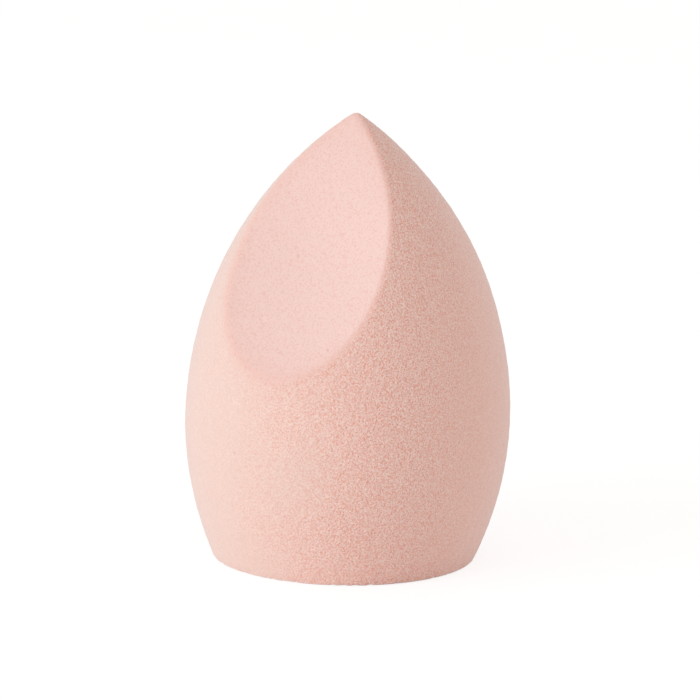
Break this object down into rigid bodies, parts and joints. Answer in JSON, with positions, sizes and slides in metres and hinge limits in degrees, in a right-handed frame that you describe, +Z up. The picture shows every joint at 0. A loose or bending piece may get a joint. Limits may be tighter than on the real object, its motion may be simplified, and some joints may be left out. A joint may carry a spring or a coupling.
{
  "type": "makeup sponge",
  "caption": "Drop-shaped makeup sponge of soft pale pink foam, with a pointed tip, a slanted flat facet for pressing and dabbing, and a flat round base to stand on.",
  "frame": {"origin": "middle of the flat base, on the surface that the sponge stands on", "axes": "+Z up through the tip, -Y towards the side with the slanted facet, and the sponge is its own mirror image across X = 0"},
  "size_m": [0.0434, 0.0434, 0.06],
  "materials": {
    "foam": "pale pink open-cell polyurethane foam, matt, with a fine grain on its ground side and a smoother, finer grain on its cut faces"
  },
  "bodies": {
    "root": {"foam_body": "foam"}
  },
  "joints": []
}
